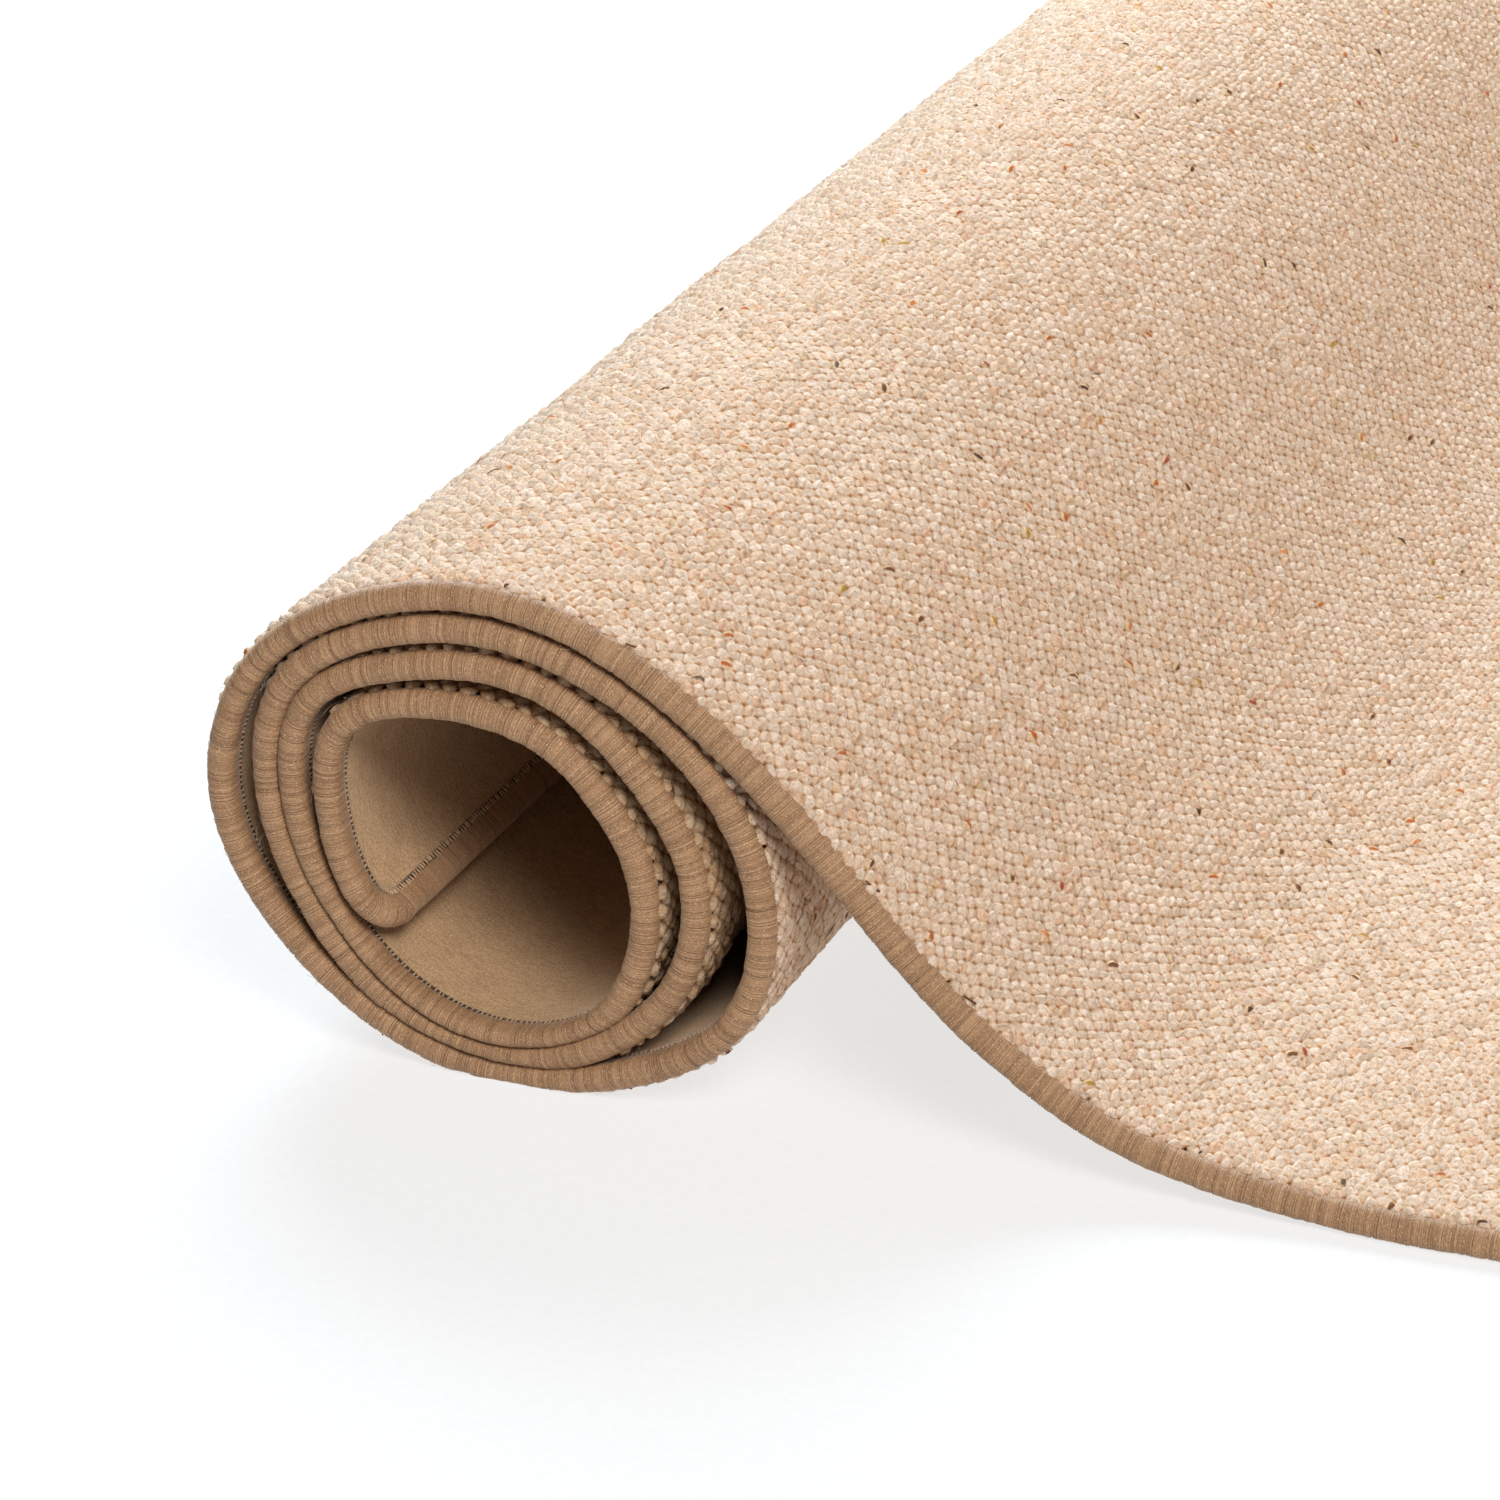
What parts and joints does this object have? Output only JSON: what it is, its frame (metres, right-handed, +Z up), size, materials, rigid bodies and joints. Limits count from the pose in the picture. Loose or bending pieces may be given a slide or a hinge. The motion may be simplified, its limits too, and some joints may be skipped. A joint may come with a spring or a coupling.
{
  "type": "rolled up carpet",
  "caption": "Wool loop-pile carpet with a wrapped edge, wound pile outwards into a loose roll, its outer end running out flat on the floor.",
  "frame": {"origin": "centre of the footprint, on the floor", "axes": "+Y along the roll from its front end to its back end, +X towards the outer end that lies flat, +Z up"},
  "size_m": [0.4946, 1.2, 0.1624],
  "materials": {
    "pile": "undyed beige wool loop pile with coloured flecks, on a tan felt back",
    "edge_yarn": "tan-brown overcast yarn, slightly lustrous"
  },
  "bodies": {
    "root": {"carpet": "pile", "serged_edge": "edge_yarn"}
  },
  "joints": []
}
